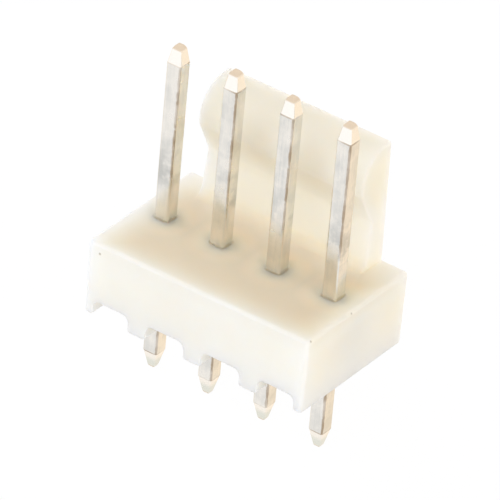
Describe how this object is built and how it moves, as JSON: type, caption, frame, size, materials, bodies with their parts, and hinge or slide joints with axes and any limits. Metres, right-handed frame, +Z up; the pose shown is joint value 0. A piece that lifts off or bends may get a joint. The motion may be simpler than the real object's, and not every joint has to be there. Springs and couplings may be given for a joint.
{
  "type": "pin header",
  "caption": "Straight through-hole pin header: square pins in a row in a nylon base, with a locking wall behind them for the mating plug.",
  "frame": {"origin": "centre of the pin row, in the plane of the circuit board that the feet stand on", "axes": "+X along the pin row, from pin_1 to pin_4; +Y from the pins to the locking wall; +Z up, along the contact ends of the pins"},
  "size_m": [0.01, 0.0064, 0.0141],
  "materials": {
    "nylon": "natural nylon as moulded, satin",
    "tinned_brass": "bright tin plating"
  },
  "bodies": {
    "root": {"housing": "nylon", "pin_1": "tinned_brass", "pin_2": "tinned_brass", "pin_3": "tinned_brass", "pin_4": "tinned_brass"}
  },
  "joints": []
}
